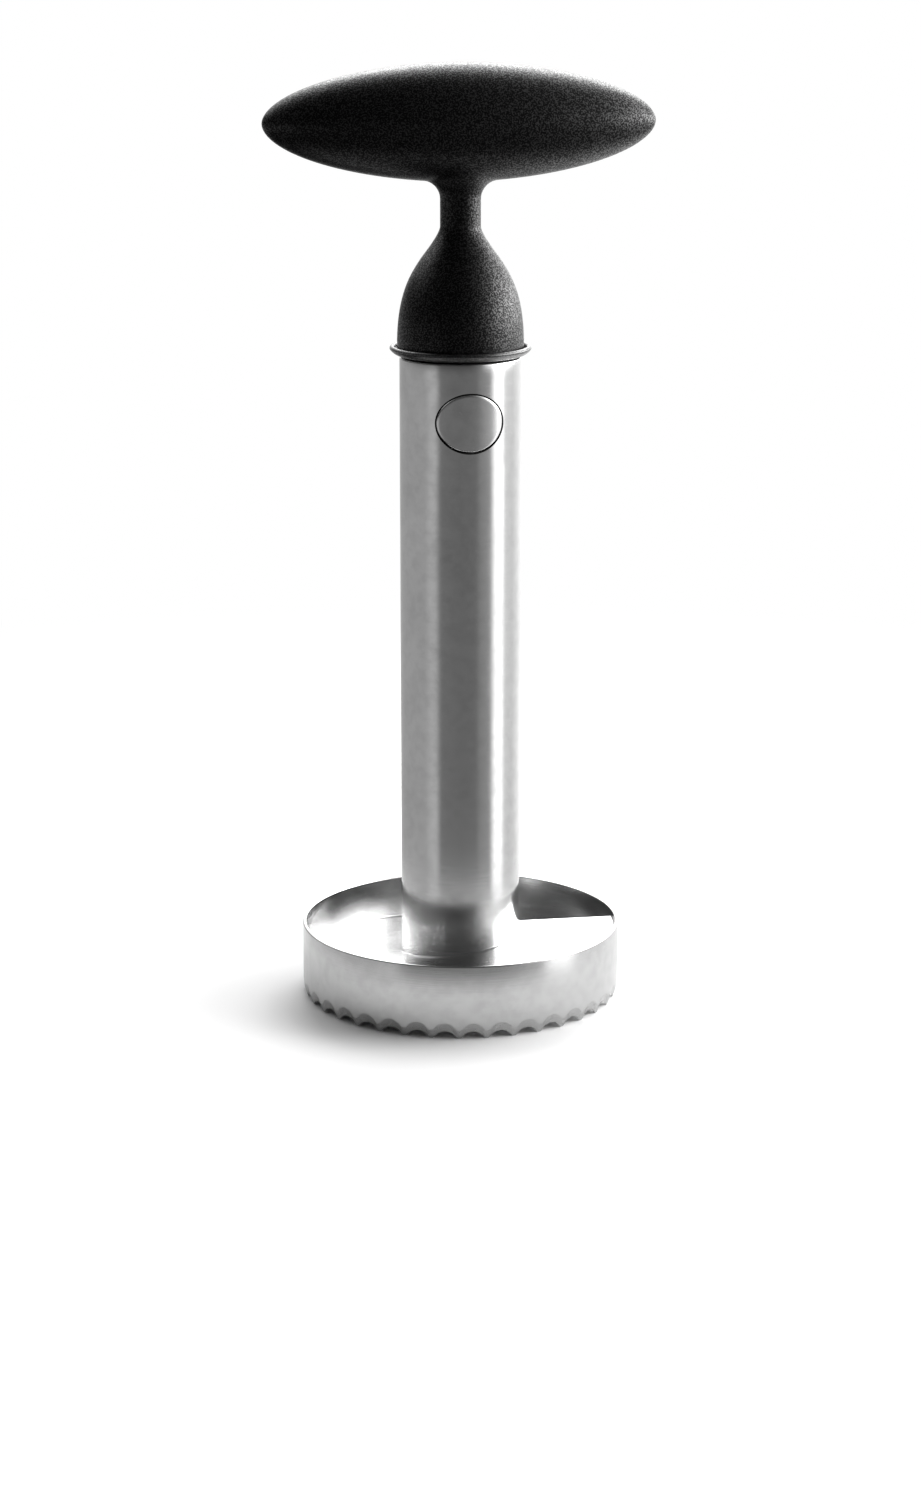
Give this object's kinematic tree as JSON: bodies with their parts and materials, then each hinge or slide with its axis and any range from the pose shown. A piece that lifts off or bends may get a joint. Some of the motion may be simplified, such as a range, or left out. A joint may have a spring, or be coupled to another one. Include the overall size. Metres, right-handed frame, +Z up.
{
  "type": "pineapple slicer",
  "caption": "Pineapple corer and slicer: serrated steel tube with one turn of spiral blade in a toothed ring, and a black T-handle latched on by a sprung oval push button.",
  "frame": {"origin": "on the tube's axis, at the level of the ring's teeth, on which the slicer stands", "axes": "+Z up the tube towards the grip, X along the grip, -Y towards the button"},
  "size_m": [0.1026, 0.086, 0.2491],
  "materials": {
    "blade_steel": "satin stainless steel, finely brushed",
    "button_steel": "satin stainless steel, a little darker than the tube",
    "black_plastic": "matte black with a fine moulded grain",
    "inner_plastic": "matte dark grey moulding",
    "cast_alloy": "plain die-cast surface",
    "screw_steel": "plain stainless steel",
    "spring_steel": "drawn spring wire"
  },
  "bodies": {
    "cutter": {"core_tube": "blade_steel", "cutting_ring": "blade_steel", "spiral_blade": "blade_steel"},
    "handle": {"grip_front_shell": "black_plastic", "grip_rear_shell": "black_plastic", "grip_core": "cast_alloy", "collar_ring": "black_plastic", "tube_plug": "inner_plastic", "plug_screw_left": "screw_steel", "plug_screw_right": "screw_steel", "plug_end_cap": "inner_plastic", "button_spring": "spring_steel"},
    "button": {"button_cap": "button_steel", "button_plunger": "inner_plastic"}
  },
  "joints": [
    {"name": "handle_lift", "type": "slide", "parent": "cutter", "child": "handle", "axis": [0, 0, 1], "range_m": [0, 0.16]},
    {"name": "button_press", "type": "slide", "parent": "handle", "child": "button", "axis": [0, 1, 0], "range_m": [0, 0.003], "stiffness_N_per_m": 300, "springref_m": -0.004, "deforming": ["button_spring"]}
  ]
}
